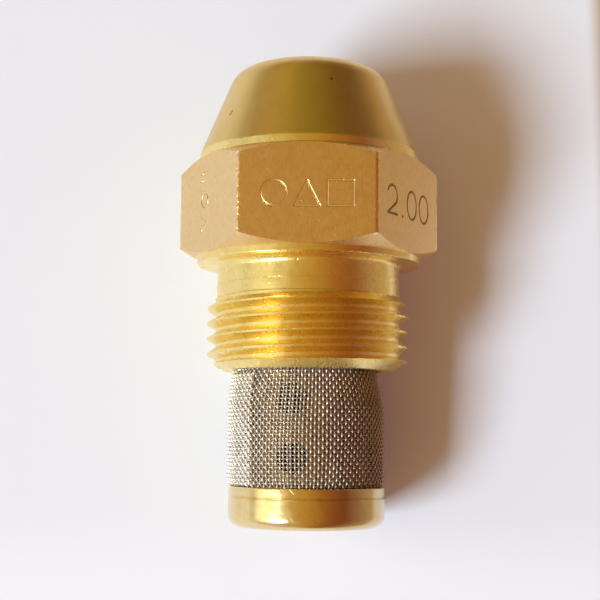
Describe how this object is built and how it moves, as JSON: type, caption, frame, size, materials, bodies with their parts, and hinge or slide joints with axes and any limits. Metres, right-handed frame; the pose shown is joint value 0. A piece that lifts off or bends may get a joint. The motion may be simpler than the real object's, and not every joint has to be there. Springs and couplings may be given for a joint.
{
  "type": "oil burner nozzle",
  "caption": "Brass oil burner nozzle: hexagonal body with a conical nose and a threaded neck, a steel orifice disc and swirl cone inside, and a woven mesh strainer below.",
  "frame": {"origin": "middle of the flat bottom of the strainer's end cap, on the nozzle's axis", "axes": "+Z along the nozzle's axis towards the spray hole, -Y is the outward normal of the hex flat with the three plain signs"},
  "size_m": [0.0184, 0.016, 0.0324],
  "materials": {
    "brass_body": "turned, satin, hex flats drawn",
    "steel_disc": "fine turned",
    "steel_cone": "fine turned",
    "brass_screw": "turned",
    "brass_core": "turned",
    "steel_mesh": "woven wire cloth",
    "brass_cap": "pressed, polished"
  },
  "bodies": {
    "body": {"nozzle_body": "brass_body", "orifice_disc": "steel_disc"},
    "distributor": {"swirl_cone": "steel_cone"},
    "retainer": {"lock_screw": "brass_screw"},
    "strainer": {"strainer_core": "brass_core", "strainer_mesh": "steel_mesh", "end_cap": "brass_cap"}
  },
  "joints": [
    {"name": "distributor_withdraw", "type": "slide", "parent": "body", "child": "distributor", "axis": [0, 0, -1], "range_m": [0, 0.021]},
    {"name": "retainer_unscrew", "type": "slide", "parent": "distributor", "child": "retainer", "axis": [0, 0, -1], "range_m": [0, 0.015]},
    {"name": "strainer_unscrew", "type": "slide", "parent": "retainer", "child": "strainer", "axis": [0, 0, -1], "range_m": [0, 0.008]}
  ]
}
